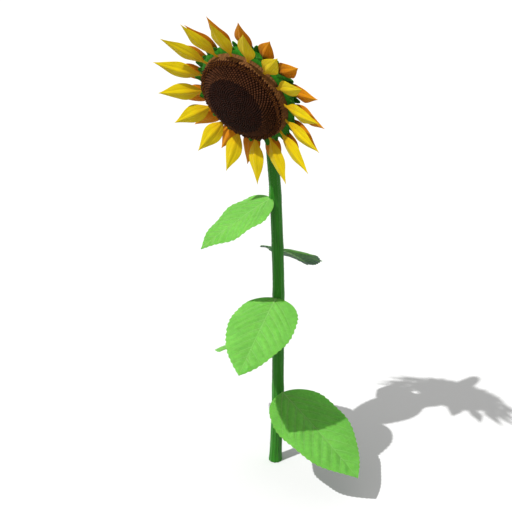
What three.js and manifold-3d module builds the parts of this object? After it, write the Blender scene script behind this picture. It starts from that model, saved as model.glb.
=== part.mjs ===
// A dwarf sunflower in flower, rooted in the ground: one stem, five leaves and one nodding head.
// Millimetres, +Z up. The origin is the middle of the flat cut at the foot of the stem.

import * as THREE from "three";
import { mergeVertices } from "three/addons/utils/BufferGeometryUtils.js";
import Module from "manifold-3d";

// ---------------------------------------------------------------- driving dimensions

const CLEARANCE = 0.3; // air between two touching pieces

// The stem's centre line, from the ground up to where the neck starts to nod
const STEM_LINE = [
  [0, 0, 0],
  [2.7, 0, 110],
  [2.9, 0, 164],
  [2.7, -0.6, 302],
  [1.4, -2, 353],
  [-3.5, -5, 469],
  [-8.8, -6.5, 536],
  [-9.4, -6, 574],
];
const STEM_RADIUS_LOW = 9.3; // just above the root flare
const STEM_RADIUS_TOP = 8.2; // where the stem meets the head
const ROOT_FLARE = 1.5; // added to the radius at the ground
const ROOT_FLARE_HEIGHT = 13; // height over which the flare dies away
const STEM_SIDES = 16;
const STEM_RINGS = 38;
const NECK_BEND_RADIUS = 26; // centre-line radius of the nodding neck
const NECK_STUB = 4; // straight length between that bend and the head
const STEM_SHARE_BELOW_NECK = 0.8; // leaves sit on this share of the stem's length

// Leaves from the ground up: height of the base on the stem, heading, droop below level, length
const LEAVES = [
  { name: "leaf_1", height: 131, heading: -47.5, droop: 24.3, length: 192 },
  { name: "leaf_2", height: 223, heading: 129, droop: 30, length: 168 },
  { name: "leaf_3", height: 295.5, heading: -113, droop: 22.3, length: 161 },
  { name: "leaf_4", height: 373, heading: 65.4, droop: 33.3, length: 145 },
  { name: "leaf_5", height: 457.5, heading: -157.5, droop: 28.9, length: 133 },
];
// Leaf outline as shares of the leaf's length, measured from the stem's centre line
const PETIOLE_END = 0.055;
const PETIOLE_HALF_WIDTH = 0.02;
const PETIOLE_DEPTH = 0.8; // its depth as a share of its width
const BLADE_SHOULDER = [0.07, 0.2]; // steers the rounded base of the outline
const BLADE_WIDEST_AT = 0.4;
const BLADE_HALF_WIDTH = 0.316;
const BLADE_FLANK = [0.7, 0.316]; // steers the outline beyond its widest place
const BLADE_POINT = [0.87, 0.15]; // steers the outline into its tip
const BLADE_THICKNESS = 2; // also over a hundredth of the longest leaf
const BLADE_FOLD = 0.12; // rise of the blade beside the midrib, per unit of width
const BLADE_CURL = 0.11; // drop of the margin, per unit of width
const BLADE_ARCH = 0.02; // rise of the midrib's middle, per unit of length
const BLADE_STATIONS = 9; // in each half of the outline

// The head: middle of the ray florets' base plane, heading it faces, and how far it looks up
const HEAD_CENTRE = [-47.7, -64, 625.1];
const HEAD_HEADING = -125.4;
const HEAD_ELEVATION = -20.9;
// Depths in the head are counted forward from the ray florets' base plane
const DISC_BACK = -4.8;
const DISC_BACK_RADIUS = 68.8;
const DISC_RIM_RADIUS = 65.1;
const DISC_RIM_HEIGHT = 6.4;
const DISC_RIM_INNER_RADIUS = 58;
const DISC_SHOULDER_RADIUS = 43;
const DISC_SHOULDER_HEIGHT = 20.3;
const DISC_TOP_HEIGHT = 26.2;
const SHOULDER_ROUNDING = 0.55; // 0 is a straight cone between rim and shoulder
const HEART_RADIUS = 42; // the dark middle of the disc
const HEAD_SIDES = 48;

const NECK_SOCKET_DEPTH = -40; // where the stem meets the back of the head
// The back of the receptacle from the stem's socket outwards, as [radius, depth]
const HEAD_BACK = [[11, -36.5], [26, -33.5], [48, -31], [61, -28]];
const RAY_SEAT = [-24.4, -14.2]; // depths of the wall that carries the outer ray florets
const FLANGE_RADIUS = 75; // green rim between the two rings of ray florets
const FLANGE_FRONT = -8;
const FLANGE_THICKNESS = 2.5;
// Pointed bracts, as [radius, depth] of their two ends: on that rim, and behind the outer florets
const RIM_BRACTS = { base: [60, -9.2], tip: [84, -8.2], halfWidth: 12.5 };
const BACK_BRACTS = { base: [52, -28], tip: [80, -21.5], halfWidth: 11 };
const BRACT_HALF_THICKNESS = 1;
const BRACT_STATIONS = 6;

const RAY_COUNT = 16; // in each of the two rings
const FIRST_RAY_ANGLE = 159.5; // from the head's level axis, seen from the front
const FRONT_RAYS = { base: [67.9, 0], tip: [133.4, 21.8], halfWidth: 14.5 };
const BACK_RAYS = { base: [64.4, -19.2], tip: [126.6, 0.2], halfWidth: 14.5 };
const RAY_BASE_HALF_WIDTH = 3;
const RAY_WIDEST_AT = 0.45;
const RAY_TAPER = 1.6; // 1 is a full oval, more draws both ends out to a point
const RAY_HALF_THICKNESS = 1.3;
const RAY_KEEL = 2.2; // how far the middle of a ray floret stands in front of its edges
const RAY_STATIONS = 9;

// ---------------------------------------------------------------- materials

function finish(color, roughness) {
  return new THREE.MeshStandardMaterial({ color, roughness, metalness: 0 });
}

const STEM_GREEN = finish(0x3e8a20, 0.75);
const LEAF_GREEN = finish(0x75c74d, 0.7);
const BRACT_GREEN = finish(0x2d7019, 0.75);
const RAY_YELLOW = finish(0xe6d623, 0.6);
const RAY_ORANGE = finish(0xc9701a, 0.6);
const DISC_BROWN = finish(0x5a3320, 0.9);
const HEART_BROWN = finish(0x24140c, 0.9);

// ---------------------------------------------------------------- solids

const wasm = await Module();
wasm.setup();

const radians = THREE.MathUtils.degToRad;

// Signed volume of a closed indexed geometry: positive when its faces point out
function signedVolume(positions, index) {
  const corners = [new THREE.Vector3(), new THREE.Vector3(), new THREE.Vector3()];
  let total = 0;
  for (let i = 0; i < index.length; i += 3) {
    corners.forEach((corner, k) => corner.fromArray(positions, index[i + k] * 3));
    total += corners[0].dot(corners[1].clone().cross(corners[2])) / 6;
  }
  return total;
}

// A closed solid through a row of rings with the same number of points. A ring of one point is a tip.
function loft(rings) {
  const positions = [];
  const index = [];
  const starts = [];
  for (const ring of rings) {
    starts.push(positions.length / 3);
    for (const point of ring) positions.push(point.x, point.y, point.z);
  }
  for (let r = 0; r + 1 < rings.length; r += 1) {
    const count = Math.max(rings[r].length, rings[r + 1].length);
    for (let i = 0; i < count; i += 1) {
      const j = (i + 1) % count;
      const [a, b] = [i, j].map((k) => starts[r] + (k % rings[r].length));
      const [c, d] = [i, j].map((k) => starts[r + 1] + (k % rings[r + 1].length));
      if (a !== b) index.push(a, b, c);
      if (c !== d) index.push(b, d, c);
    }
  }
  const closeEnd = (ring, start, turned) => {
    if (ring.length === 1) return;
    const middle = positions.length / 3;
    const centre = new THREE.Vector3();
    for (const point of ring) centre.addScaledVector(point, 1 / ring.length);
    positions.push(centre.x, centre.y, centre.z);
    ring.forEach((point, i) => {
      const j = (i + 1) % ring.length;
      index.push(middle, start + (turned ? j : i), start + (turned ? i : j));
    });
  };
  closeEnd(rings[0], starts[0], true);
  closeEnd(rings[rings.length - 1], starts[rings.length - 1], false);
  if (signedVolume(positions, index) < 0) index.reverse();
  const geometry = new THREE.BufferGeometry();
  geometry.setAttribute("position", new THREE.Float32BufferAttribute(positions, 3));
  geometry.setIndex(index);
  return geometry;
}

function toSolid(source) {
  const bare = source.clone();
  bare.deleteAttribute("normal");
  bare.deleteAttribute("uv");
  const merged = mergeVertices(bare);
  const vertProperties = new Float32Array(merged.attributes.position.array);
  const triVerts = new Uint32Array(merged.index.array);
  return new wasm.Manifold(new wasm.Mesh({ numProp: 3, vertProperties, triVerts }));
}

function toGeometry(solid) {
  const mesh = solid.getMesh();
  const geometry = new THREE.BufferGeometry();
  geometry.setAttribute("position", new THREE.Float32BufferAttribute(mesh.vertProperties, 3));
  geometry.setIndex(Array.from(mesh.triVerts));
  return geometry;
}

// A solid turned about the head's axis from a closed profile of [radius, depth] points on the axis
function turned(profile) {
  const points = profile.map(([radius, depth]) => new THREE.Vector2(radius, depth));
  return new THREE.LatheGeometry(points, HEAD_SIDES).rotateX(Math.PI / 2);
}

// ---------------------------------------------------------------- the head's place

const head = new THREE.Group();
const facing = new THREE.Vector3(1, 0, 0)
  .applyAxisAngle(new THREE.Vector3(0, 1, 0), -radians(HEAD_ELEVATION))
  .applyAxisAngle(new THREE.Vector3(0, 0, 1), radians(HEAD_HEADING));
const level = new THREE.Vector3(0, 0, 1).cross(facing).normalize();
const upright = facing.clone().cross(level);
head.position.fromArray(HEAD_CENTRE);
head.quaternion.setFromRotationMatrix(new THREE.Matrix4().makeBasis(level, upright, facing));

// ---------------------------------------------------------------- stem

// The neck's centre line: an arc in the upright plane that the head faces along, from straight up
// to square on to the back of the head, and a short stub
function neckPoints() {
  const top = head.position.clone().addScaledVector(facing, NECK_SOCKET_DEPTH - CLEARANCE);
  const end = top.clone().addScaledVector(facing, -NECK_STUB);
  const forward = new THREE.Vector3(facing.x, facing.y, 0).normalize();
  const up = new THREE.Vector3(0, 0, 1);
  const sweep = 90 - HEAD_ELEVATION;
  const onArc = (angle) => new THREE.Vector3()
    .addScaledVector(forward, -NECK_BEND_RADIUS * Math.cos(radians(angle)))
    .addScaledVector(up, NECK_BEND_RADIUS * Math.sin(radians(angle)));
  const middle = end.clone().sub(onArc(sweep));
  return [...[0, 0.25, 0.5, 0.75, 1].map((share) => onArc(share * sweep).add(middle)), top];
}

const lowerLine = STEM_LINE.map((point) => new THREE.Vector3(...point));
const stemLine = new THREE.CatmullRomCurve3([...lowerLine, ...neckPoints()], false, "centripetal");

// The stem's rings, with its radius let out by some millimetres all round
function stemRings(extra) {
  const frames = stemLine.computeFrenetFrames(STEM_RINGS, false);
  const rings = [];
  for (let r = 0; r <= STEM_RINGS; r += 1) {
    const share = r / STEM_RINGS;
    const centre = stemLine.getPointAt(share);
    const flare = ROOT_FLARE * Math.exp(-centre.z / ROOT_FLARE_HEIGHT);
    const radius = THREE.MathUtils.lerp(STEM_RADIUS_LOW, STEM_RADIUS_TOP, share) + flare + extra;
    const ring = [];
    for (let i = 0; i < STEM_SIDES; i += 1) {
      const angle = (2 * Math.PI * i) / STEM_SIDES;
      const point = centre.clone()
        .addScaledVector(frames.normals[r], radius * Math.cos(angle))
        .addScaledVector(frames.binormals[r], radius * Math.sin(angle));
      if (r === 0) point.z = 0; // the flat cut at the ground
      if (r === STEM_RINGS) {
        // the top lies flat against the back of the head
        point.addScaledVector(facing, centre.clone().sub(point).dot(facing));
      }
      ring.push(point);
    }
    rings.push(ring);
  }
  return rings;
}

// The point of the stem's centre line at a height below the neck
function stemPointAt(height) {
  let low = 0;
  let high = STEM_SHARE_BELOW_NECK;
  for (let step = 0; step < 40; step += 1) {
    const half = (low + high) / 2;
    if (stemLine.getPointAt(half).z < height) low = half;
    else high = half;
  }
  return stemLine.getPointAt(low);
}

// ---------------------------------------------------------------- leaves

// Half of the leaf's outline from the petiole to the tip: [distance, half-width] per unit of length
function leafOutline() {
  const spot = (x, y) => new THREE.Vector2(x, y);
  const base = new THREE.CubicBezierCurve(
    spot(PETIOLE_END, PETIOLE_HALF_WIDTH),
    spot(...BLADE_SHOULDER),
    spot(BLADE_WIDEST_AT / 2, BLADE_HALF_WIDTH),
    spot(BLADE_WIDEST_AT, BLADE_HALF_WIDTH),
  );
  const end = new THREE.CubicBezierCurve(
    spot(BLADE_WIDEST_AT, BLADE_HALF_WIDTH),
    spot(...BLADE_FLANK),
    spot(...BLADE_POINT),
    spot(1, 0),
  );
  const outline = [spot(0, PETIOLE_HALF_WIDTH), spot(PETIOLE_END / 2, PETIOLE_HALF_WIDTH)];
  return [...outline, ...base.getPoints(BLADE_STATIONS), ...end.getPoints(BLADE_STATIONS).slice(1)];
}

// One ring round the leaf, as [share of the half-width, share of the half-thickness]
const LEAF_SECTION = [
  [1, 0], [0.94, 1], [0.5, 1], [0, 1], [-0.5, 1], [-0.94, 1],
  [-1, 0], [-0.94, -1], [-0.5, -1], [0, -1], [0.5, -1], [0.94, -1],
];

// A leaf along +X from the stem's centre line, with its upper side up, in its own frame
function leafGeometry(length) {
  const rings = leafOutline().map(({ x, y }) => {
    const halfWidth = y * length;
    const middle = BLADE_ARCH * length * 4 * x * (1 - x);
    if (y === 0) return [new THREE.Vector3(length, 0, middle)];
    const petiole = THREE.MathUtils.smoothstep(1 - x, 1 - 3 * PETIOLE_END, 1 - PETIOLE_END);
    const stalk = PETIOLE_HALF_WIDTH * PETIOLE_DEPTH * length;
    const thick = THREE.MathUtils.lerp(BLADE_THICKNESS / 2, stalk, petiole);
    return LEAF_SECTION.map(([side, face]) => {
      const across = Math.abs(side);
      const rise = halfWidth * (BLADE_FOLD * across - BLADE_CURL * across ** 2) * (1 - petiole);
      return new THREE.Vector3(x * length, side * halfWidth, middle + rise + face * thick);
    });
  });
  return loft(rings);
}

function addLeaf(plant, leaf, stemSpace) {
  const place = new THREE.Object3D();
  place.position.copy(stemPointAt(leaf.height));
  place.rotation.set(0, radians(leaf.droop), radians(leaf.heading), "ZYX");
  place.updateMatrix();
  const spaceHere = stemSpace.clone().applyMatrix4(place.matrix.clone().invert());
  const cut = toSolid(leafGeometry(leaf.length)).subtract(toSolid(spaceHere));
  // the stub inside the stem's far side is dropped: the leaf is the largest piece
  const pieces = cut.decompose().sort((a, b) => b.volume() - a.volume());
  const mesh = new THREE.Mesh(toGeometry(pieces[0]), LEAF_GREEN);
  mesh.name = leaf.name;
  mesh.position.copy(place.position);
  mesh.quaternion.copy(place.quaternion);
  plant.add(mesh);
}

// ---------------------------------------------------------------- head

// One ring round a bract, as [share of the half-width, share of the half-thickness]
const BRACT_SECTION = [[1, 0], [0.5, 1], [-0.5, 1], [-1, 0], [-0.5, -1], [0.5, -1]];

// A pointed bract in the head's frame, lying to +X
function bractGeometry({ base, tip, halfWidth }) {
  const rings = [];
  for (let s = 0; s <= BRACT_STATIONS; s += 1) {
    const share = s / BRACT_STATIONS;
    const x = THREE.MathUtils.lerp(base[0], tip[0], share);
    const z = THREE.MathUtils.lerp(base[1], tip[1], share);
    const width = halfWidth * Math.sqrt(1 - share ** 1.6); // parabola-like sides
    const ring = BRACT_SECTION.map(([side, face]) => (
      new THREE.Vector3(x, side * width, z + face * BRACT_HALF_THICKNESS)));
    rings.push(share === 1 ? [new THREE.Vector3(x, 0, z)] : ring);
  }
  return loft(rings);
}

// The green back of the head: the fleshy receptacle with its rim of bracts in front of the outer
// ray florets and a second ring of bracts behind them
function receptacleGeometry() {
  const front = DISC_BACK - CLEARANCE;
  const seatTilt = Math.atan2(BACK_RAYS.tip[1] - BACK_RAYS.base[1], BACK_RAYS.tip[0] - BACK_RAYS.base[0]);
  const seatRadius = BACK_RAYS.base[0] - CLEARANCE / Math.cos(seatTilt);
  const seat = (depth) => [seatRadius - (depth - BACK_RAYS.base[1]) * Math.tan(seatTilt), depth];
  const body = turned([
    [0, NECK_SOCKET_DEPTH],
    [STEM_RADIUS_TOP, NECK_SOCKET_DEPTH],
    ...HEAD_BACK,
    ...RAY_SEAT.map(seat),
    [FLANGE_RADIUS, FLANGE_FRONT - FLANGE_THICKNESS],
    [FLANGE_RADIUS, FLANGE_FRONT],
    [DISC_BACK_RADIUS + 1, front],
    [0, front],
  ]);
  let solid = toSolid(body);
  for (let k = 0; k < RAY_COUNT; k += 1) {
    const angle = radians(FIRST_RAY_ANGLE + (k + 0.5) * (360 / RAY_COUNT));
    solid = solid.add(toSolid(bractGeometry(RIM_BRACTS).rotateZ(angle)));
    solid = solid.add(toSolid(bractGeometry(BACK_BRACTS).rotateZ(angle + Math.PI / RAY_COUNT)));
  }
  return toGeometry(solid);
}

// Height of the disc's domed face over the base plane, from the rim's inner edge to the middle
function domeHeight(radius) {
  const fall = DISC_TOP_HEIGHT - DISC_SHOULDER_HEIGHT;
  if (radius <= DISC_SHOULDER_RADIUS) {
    return DISC_TOP_HEIGHT - fall * (radius / DISC_SHOULDER_RADIUS) ** 2;
  }
  const share = (radius - DISC_SHOULDER_RADIUS) / (DISC_RIM_INNER_RADIUS - DISC_SHOULDER_RADIUS);
  const drop = DISC_SHOULDER_HEIGHT - DISC_RIM_HEIGHT;
  return DISC_SHOULDER_HEIGHT - drop * ((1 - SHOULDER_ROUNDING) * share + SHOULDER_ROUNDING * share ** 2);
}

// The disc's outer florets: a ring with a sloping wall, a flat rim and a rising shoulder
function discRingGeometry() {
  const inner = HEART_RADIUS + CLEARANCE;
  const shoulder = [0, 0.25, 0.5, 0.75, 1]
    .map((share) => THREE.MathUtils.lerp(DISC_RIM_INNER_RADIUS, inner, share))
    .map((radius) => [radius, domeHeight(radius)]);
  const profile = [
    [inner, DISC_BACK],
    [DISC_BACK_RADIUS, DISC_BACK],
    [DISC_RIM_RADIUS, DISC_RIM_HEIGHT],
    ...shoulder,
    [inner, DISC_BACK],
  ];
  return turned(profile);
}

// The dark heart of young florets inside that ring
function discHeartGeometry() {
  const face = [1, 0.75, 0.5, 0.25].map((share) => share * HEART_RADIUS);
  return turned([
    [0, DISC_BACK],
    [HEART_RADIUS, DISC_BACK],
    ...face.map((radius) => [radius, domeHeight(radius)]),
    [0, DISC_TOP_HEIGHT],
  ]);
}

// Half-width of a ray floret, from its narrow base to its point, as a share of the widest
function rayWidth(share) {
  const power = Math.log(0.5) / Math.log(RAY_WIDEST_AT);
  return Math.sin(Math.PI * share ** power) ** RAY_TAPER;
}

// One ring round a ray floret, as [share of the half-width, share of the half-thickness]
const RAY_SECTION = [
  [1, 0], [0.55, 1], [0, 1], [-0.55, 1],
  [-1, 0], [-0.55, -1], [0, -1], [0.55, -1],
];

// One ray floret along +X from its base, keeled, with its front side up
function rayGeometry(length, halfWidth) {
  const rings = [];
  for (let s = 0; s <= RAY_STATIONS; s += 1) {
    const share = s / RAY_STATIONS;
    const swell = rayWidth(share);
    const width = Math.max(halfWidth * swell, RAY_BASE_HALF_WIDTH * (1 - share));
    const thick = RAY_HALF_THICKNESS * (1 - share / 2);
    const ring = RAY_SECTION.map(([side, face]) => {
      const rise = RAY_KEEL * swell * (1 - Math.abs(side)) + face * thick;
      return new THREE.Vector3(share * length, side * width, rise);
    });
    rings.push(share === 1 ? [new THREE.Vector3(length, 0, 0)] : ring);
  }
  return loft(rings);
}

function addRays(rays, name, firstAngle, material) {
  const reach = rays.tip[0] - rays.base[0];
  const rise = rays.tip[1] - rays.base[1];
  const geometry = rayGeometry(Math.hypot(reach, rise), rays.halfWidth);
  for (let k = 0; k < RAY_COUNT; k += 1) {
    const angle = radians(firstAngle - (k * 360) / RAY_COUNT);
    const mesh = new THREE.Mesh(geometry, material);
    mesh.name = `${name}_${String(k + 1).padStart(2, "0")}`;
    mesh.position.set(rays.base[0] * Math.cos(angle), rays.base[0] * Math.sin(angle), rays.base[1]);
    mesh.rotation.set(0, -Math.atan2(rise, reach), angle, "ZYX");
    head.add(mesh);
  }
}

function addToHead(name, geometry, material) {
  const mesh = new THREE.Mesh(geometry, material);
  mesh.name = name;
  head.add(mesh);
}

// ---------------------------------------------------------------- the plant

const plant = new THREE.Group();

const stem = new THREE.Mesh(loft(stemRings(0)), STEM_GREEN);
stem.name = "stem";
plant.add(stem);

const stemSpace = loft(stemRings(CLEARANCE));
for (const leaf of LEAVES) addLeaf(plant, leaf, stemSpace);

addToHead("receptacle", receptacleGeometry(), BRACT_GREEN);
addToHead("disc_ring", discRingGeometry(), DISC_BROWN);
addToHead("disc_heart", discHeartGeometry(), HEART_BROWN);
addRays(FRONT_RAYS, "ray_front", FIRST_RAY_ANGLE, RAY_YELLOW);
addRays(BACK_RAYS, "ray_back", FIRST_RAY_ANGLE + 180 / RAY_COUNT, RAY_ORANGE);
plant.add(head);

export default plant;
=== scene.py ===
"""Looks of a dwarf sunflower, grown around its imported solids. Metres, +Z up, origin at the stem's foot."""

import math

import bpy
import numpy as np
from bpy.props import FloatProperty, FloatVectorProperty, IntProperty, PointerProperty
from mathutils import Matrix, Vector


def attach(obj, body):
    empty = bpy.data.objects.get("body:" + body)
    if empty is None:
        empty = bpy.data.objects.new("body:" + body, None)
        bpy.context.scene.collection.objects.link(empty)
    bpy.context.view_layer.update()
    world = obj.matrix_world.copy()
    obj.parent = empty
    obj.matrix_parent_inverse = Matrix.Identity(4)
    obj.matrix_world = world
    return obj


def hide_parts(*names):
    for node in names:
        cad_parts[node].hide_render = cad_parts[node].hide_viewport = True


bl_info = {
    "name": "Dwarf sunflower",
    "version": (1, 0, 0),
    "blender": (4, 5, 0),
    "location": "3D View > Sidebar > Sunflower",
    "description": "Grows the stem, leaves and flower head of a dwarf sunflower around its solids",
    "category": "Add Mesh",
}

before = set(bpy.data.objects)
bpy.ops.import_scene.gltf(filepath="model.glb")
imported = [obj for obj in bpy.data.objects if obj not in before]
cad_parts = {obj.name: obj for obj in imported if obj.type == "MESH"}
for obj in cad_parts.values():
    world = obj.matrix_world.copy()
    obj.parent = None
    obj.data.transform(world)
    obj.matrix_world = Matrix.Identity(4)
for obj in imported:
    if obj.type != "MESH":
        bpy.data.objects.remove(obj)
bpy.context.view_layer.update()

MM = 0.001
TURN = 2 * math.pi
UP = np.array([0, 0, 1])
GOLDEN_ANGLE = math.pi * (3 - math.sqrt(5))
BODY = "root"
GROWN = "grown"  # the attribute that says where a point was on the growing organ

# --------------- sizes shared with the solids

# Stem: centre line from the ground to the neck, in millimetres
STEM_LINE = (
    (0, 0, 0), (2.7, 0, 110), (2.9, 0, 164), (2.7, -0.6, 302),
    (1.4, -2, 353), (-3.5, -5, 469), (-8.8, -6.5, 536), (-9.4, -6, 574),
)
NECK_BEND_RADIUS = 26
NECK_STUB = 4
NECK_SOCKET_DEPTH = -40
SEAT_GAP = 0.3  # how far the solids stay clear of each other
STEM_SUNK = 3  # how far the stem's skin reaches into the receptacle

# Leaves: node, height of the base, heading, droop below level and length, in millimetres and degrees
LEAVES = (
    ("leaf_1", 131, -47.5, 24.3, 192),
    ("leaf_2", 223, 129, 30, 168),
    ("leaf_3", 295.5, -113, 22.3, 161),
    ("leaf_4", 373, 65.4, 33.3, 145),
    ("leaf_5", 457.5, -157.5, 28.9, 133),
)
# Leaf outline, as shares of the leaf's length
PETIOLE_END = 0.055
PETIOLE_HALF_WIDTH = 0.02
BLADE_BASE_CURVE = ((PETIOLE_END, PETIOLE_HALF_WIDTH), (0.07, 0.2), (0.2, 0.316), (0.4, 0.316))
BLADE_TIP_CURVE = ((0.4, 0.316), (0.7, 0.316), (0.87, 0.15), (1, 0))

# Head: place and facing, in millimetres and degrees, then radii and depths along its axis
HEAD_CENTRE = (-47.7, -64, 625.1)
HEAD_HEADING = -125.4
HEAD_ELEVATION = -20.9
DISC_BACK = -4.8
DISC_BACK_RADIUS = 68.8
DISC_RIM_RADIUS = 65.1
DISC_RIM_HEIGHT = 6.4
DISC_RIM_INNER_RADIUS = 58
DISC_SHOULDER_RADIUS = 43
DISC_SHOULDER_HEIGHT = 20.3
DISC_TOP_HEIGHT = 26.2
SHOULDER_ROUNDING = 0.55
HEAD_COLLAR = ((8.4, -42.6), (9.1, -40.4), (10.8, -38), (14.2, -36), (19.5, -34.5))
HEAD_BACK = ((26, -33.5), (48, -31), (61, -28), (65.7, -24.4))
RECEPTACLE_RIM = ((62.5, -14.2), (75, -10.5), (75, -8), (69.8, -5.1))

# Ray florets: radius and depth of their base and tip, and how far the tips bend sideways
RAY_COUNT = 16
FIRST_RAY_ANGLE = 159.5
FRONT_RAYS = {"name": "ray_front", "base": (67.9, 0), "tip": (133.4, 21.8), "turn": 0, "bend": 0}
BACK_RAYS = {"name": "ray_back", "base": (64.4, -19.2), "tip": (126.6, 0.2), "turn": 11.25, "bend": -3.8}
RAY_WIDEST_AT = 0.45  # share of its length
RAY_TAPER = 2.1
RAY_TIP_FULLNESS = 0.8
RAY_CLAW_HALF_WIDTH = 2.6  # at the base
RAY_SUNK = 2.5  # how far its base reaches in behind the disc's wall


# --------------- settings a user would change


def linear(code):
    """An sRGB hex colour as linear red, green and blue."""
    shares = [int(code[i : i + 2], 16) / 255 for i in (1, 3, 5)]
    return [s / 12.92 if s <= 0.04045 else ((s + 0.055) / 1.055) ** 2.4 for s in shares]


def length_setting(name, description, millimetres):
    return FloatProperty(name=name, description=description, default=millimetres * MM, unit="LENGTH")


def colour_setting(name, description, code):
    return FloatVectorProperty(name=name, description=description, default=linear(code), subtype="COLOR")


class StemSettings(bpy.types.PropertyGroup):
    radius_low: length_setting("Lower radius", "Radius just above the root flare", 9.3)
    radius_top: length_setting("Upper radius", "Radius where the stem meets the head", 8.2)
    flare: length_setting("Root flare", "Radius added at the ground", 1.5)
    flare_height: length_setting("Flare height", "Height over which the flare dies away", 13)
    rib_height: length_setting("Rib height", "How far the lengthwise ribs stand out", 0.35)
    hair_length: length_setting("Hair length", "Length of the stem's bristly hairs", 2.2)
    rib_count: IntProperty(name="Ribs", description="Lengthwise ribs round the stem", default=11)
    hair_count: IntProperty(name="Hairs", description="Bristly hairs on the stem", default=5200)
    colour: colour_setting("Stem green", "Skin of the stem", "#2A7E0D")
    hair_colour: colour_setting("Hair colour", "Hairs of stem and bracts", "#8FB070")


class LeafSettings(bpy.types.PropertyGroup):
    thickness: length_setting("Thickness", "Thickness of the blade", 1.1)
    tooth_height: length_setting("Tooth height", "How far the margin's teeth stand out", 1.9)
    tooth_spacing: length_setting("Tooth spacing", "Distance between the margin's teeth", 9)
    wave_height: length_setting("Wave height", "How far the margin waves up and down", 1.8)
    quilting: length_setting("Quilting", "How far the blade swells between its veins", 1.4)
    upper: colour_setting("Upper side", "Sunlit side of the blade", "#77BC51")
    # painted shade: the underside's own grey-green, darkened well below a real leaf's paler underside to
    # stand in for the shade it lies in
    lower: colour_setting("Lower side", "Underside of the blade", "#385C46")
    veins: colour_setting("Veins", "Midrib, petiole and side veins", "#86C962")


class HeadSettings(bpy.types.PropertyGroup):
    bract_thickness: length_setting("Bract thickness", "Thickness of the green bracts", 1.2)
    floret_spacing: length_setting("Floret spacing", "Distance between disc florets", 3.1)
    bract: colour_setting("Bracts", "Bracts and back of the head", "#2C7D16")
    heart: colour_setting("Heart", "Closed florets in the middle of the disc", "#270E04")
    shoulder: colour_setting("Shoulder", "Florets about to open", "#4C2B18")
    rim: colour_setting("Rim", "Open florets at the disc's rim", "#3E1E0F")
    anther: colour_setting("Anthers", "Pollen tubes of the open florets", "#7E4C20")
    scale: colour_setting("Chaff", "Chaffy scales round the disc's wall", "#7A5029")


class RaySettings(bpy.types.PropertyGroup):
    half_width: length_setting("Half-width", "Half of the widest width of a ray floret", 13.9)
    keel: length_setting("Keel", "How far the middle stands in front of the edges", 5.2)
    thickness: length_setting("Thickness", "Thickness of a ray floret", 0.7)
    yellow: colour_setting("Front ring", "Ray florets of the front ring", "#EED00A")
    yellow_base: colour_setting("Front ring, base", "Their colour near the disc", "#DCAA0A")
    orange: colour_setting("Back ring", "Ray florets of the back ring", "#EA9812")
    orange_base: colour_setting("Back ring, base", "Their colour near the disc", "#C4700E")


class StageSettings(bpy.types.PropertyGroup):
    sun: FloatProperty(name="Sun", description="Strength of the main light", default=2.85)
    sky: FloatProperty(name="Sky", description="Strength of the even light", default=0.46)
    floor: colour_setting("Floor", "Plain pale floor", "#F6F6F5")


class SunflowerSettings(bpy.types.PropertyGroup):
    stem: PointerProperty(type=StemSettings)
    leaf: PointerProperty(type=LeafSettings)
    head: PointerProperty(type=HeadSettings)
    ray: PointerProperty(type=RaySettings)
    stage: PointerProperty(type=StageSettings)


# --------------- lines and places


def smoothstep(x, low, high):
    share = np.clip((x - low) / (high - low), 0, 1)
    return share * share * (3 - 2 * share)


def through(points, per_span=24):
    """A smooth line through points: centripetal Catmull-Rom, as the solids use."""
    points = np.asarray(points, float)
    ends = np.vstack([2 * points[0] - points[1], points, 2 * points[-1] - points[-2]])
    share = np.linspace(0, 1, per_span, endpoint=False)[:, None]
    spans = []
    for a, b, c, d in zip(ends, ends[1:], ends[2:], ends[3:]):
        ab, bc, cd = (math.sqrt(np.linalg.norm(q - p)) for p, q in ((a, b), (b, c), (c, d)))
        leave = ((b - a) / ab - (c - a) / (ab + bc) + (c - b) / bc) * bc
        arrive = ((c - b) / bc - (d - b) / (bc + cd) + (d - c) / cd) * bc
        spans.append(
            (2 * share**3 - 3 * share**2 + 1) * b
            + (share**3 - 2 * share**2 + share) * leave
            + (3 * share**2 - 2 * share**3) * c
            + (share**3 - share**2) * arrive
        )
    return np.vstack(spans + [points[-1:]])


def length_along(line):
    """How far each point of a line is from its start, along the line."""
    return np.append(0, np.cumsum(np.linalg.norm(np.diff(line, axis=0), axis=1)))


def evenly(line, count):
    """The line again, as a number of points an equal way apart."""
    along = length_along(line)
    wanted = np.linspace(0, along[-1], count)
    return np.stack([np.interp(wanted, along, line[:, k]) for k in range(3)], axis=1)


def aimed(heading, elevation):
    """Facing, level and upright directions, as rows, of something turned to a heading and elevation."""
    a, e = math.radians(heading), math.radians(elevation)
    facing = (math.cos(e) * math.cos(a), math.cos(e) * math.sin(a), math.sin(e))
    upright = (-math.sin(e) * math.cos(a), -math.sin(e) * math.sin(a), math.cos(e))
    return np.array([facing, (-math.sin(a), math.cos(a), 0), upright])


def head_axes():
    """Level, upright and facing directions of the head, as rows."""
    return np.roll(aimed(HEAD_HEADING, HEAD_ELEVATION), -1, axis=0)


def on_head(points):
    """Points of the head's own frame, in millimetres, in the plant's frame, in metres."""
    return (np.asarray(points) @ head_axes() + HEAD_CENTRE) * MM


def round_z(radius, angle, height):
    """Points round the Z axis, at angles in radians."""
    return np.stack([radius * np.cos(angle), radius * np.sin(angle), height + 0 * radius * angle], axis=-1)


def around_axis(angle):
    """Unit directions away from the Z axis and round it, at angles in radians."""
    return round_z(1, angle, 0), round_z(1, angle + TURN / 4, 0)


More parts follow.
